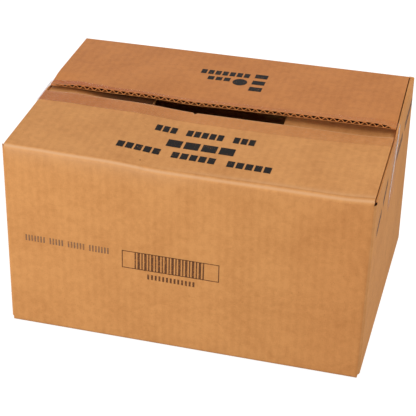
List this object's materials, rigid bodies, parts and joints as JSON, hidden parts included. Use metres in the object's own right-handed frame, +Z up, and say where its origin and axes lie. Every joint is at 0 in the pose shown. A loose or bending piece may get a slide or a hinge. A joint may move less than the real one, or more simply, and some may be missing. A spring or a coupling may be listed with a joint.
{
  "type": "bottle shipping box",
  "caption": "Closed corrugated carton for shipping bottles, sealed with clear tape along the top seam, with an interlocking cell partition inside.",
  "frame": {"origin": "middle of the carton's underside, on the surface that it stands on", "axes": "+X along the carton's length, to the right of the panel with the print; +Y to the rear; +Z up"},
  "size_m": [0.3802, 0.268, 0.2141],
  "materials": {
    "kraft_board": "matte",
    "clear_film": "gloss",
    "divider_board": "matte"
  },
  "bodies": {
    "root": {"carton": "kraft_board", "top_tape": "clear_film", "long_divider_1": "divider_board", "long_divider_2": "divider_board", "short_divider_1": "divider_board", "short_divider_2": "divider_board", "short_divider_3": "divider_board"}
  },
  "joints": []
}
